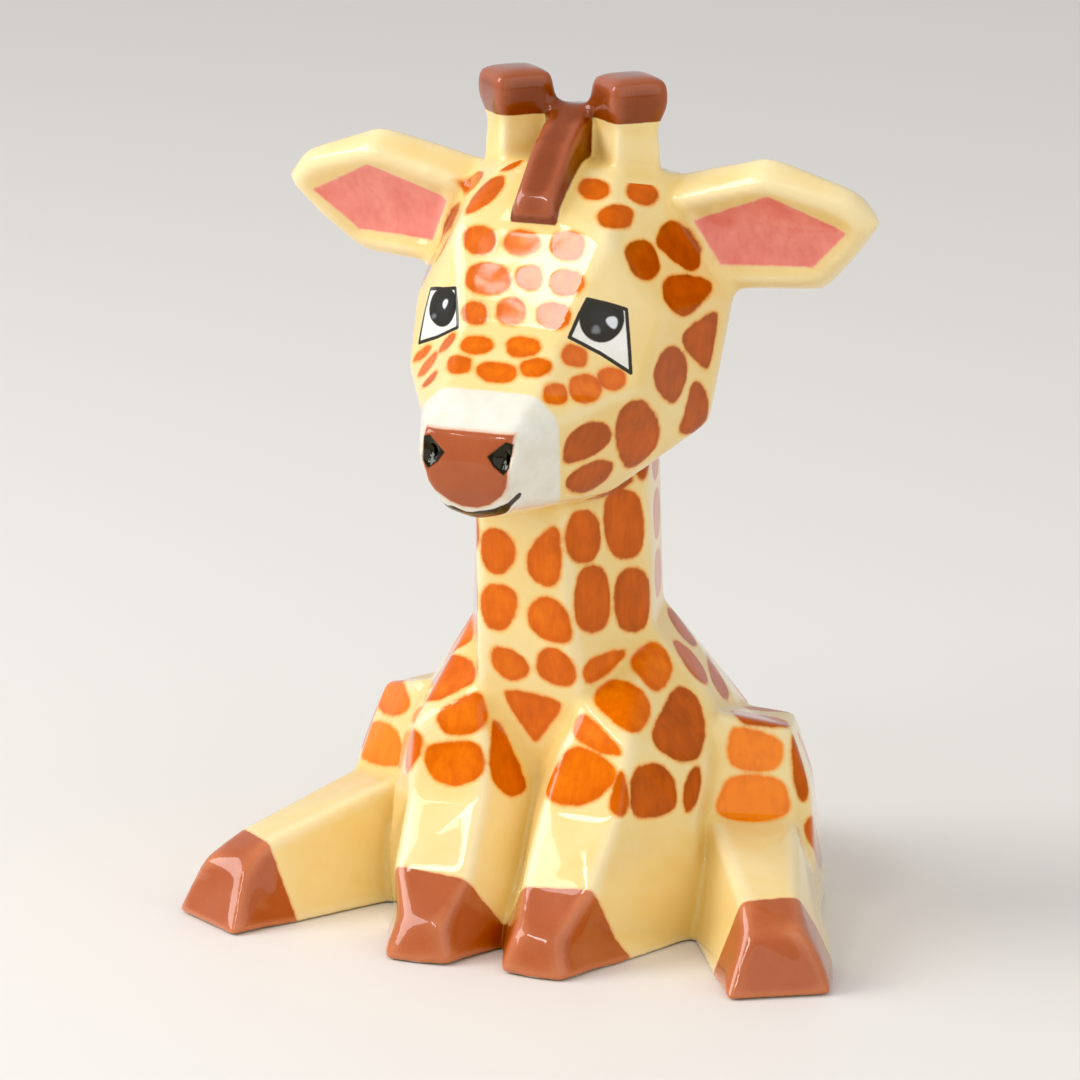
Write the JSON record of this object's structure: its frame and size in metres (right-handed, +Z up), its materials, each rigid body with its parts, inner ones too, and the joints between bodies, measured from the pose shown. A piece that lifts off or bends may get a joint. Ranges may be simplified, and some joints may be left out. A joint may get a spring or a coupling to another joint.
{
  "type": "giraffe figurine",
  "caption": "Sitting giraffe calf figurine with faceted planes, hollow slip-cast earthenware, hand-painted spots and clear gloss glaze.",
  "frame": {"origin": "on the surface it stands on, under the middle of the figurine's bounding box", "axes": "+Z up, the face and the hooves look along -Y, the giraffe's left side is +X"},
  "size_m": [0.146, 0.1205, 0.176],
  "materials": {
    "spotted_glaze": "clear gloss over cream underglaze with hand-painted orange-brown spots",
    "ear_glaze": "clear gloss over cream, with a pink inner ear",
    "horn_glaze": "clear gloss over cream stems and dark brown caps",
    "brown_glaze": "clear gloss over brushed dark brown",
    "leg_glaze": "clear gloss over cream with orange-brown spots and terracotta-brown hooves",
    "tail_glaze": "clear gloss over cream with a brown tuft"
  },
  "bodies": {
    "root": {"torso_casting": "spotted_glaze", "neck_casting": "spotted_glaze", "head_casting": "spotted_glaze", "ear_left": "ear_glaze", "ear_right": "ear_glaze", "ossicone_left": "horn_glaze", "ossicone_right": "horn_glaze", "forelock": "brown_glaze", "nape_mane": "brown_glaze", "foreleg_left": "leg_glaze", "foreleg_right": "leg_glaze", "hindleg_left": "leg_glaze", "hindleg_right": "leg_glaze", "tail": "tail_glaze"}
  },
  "joints": []
}
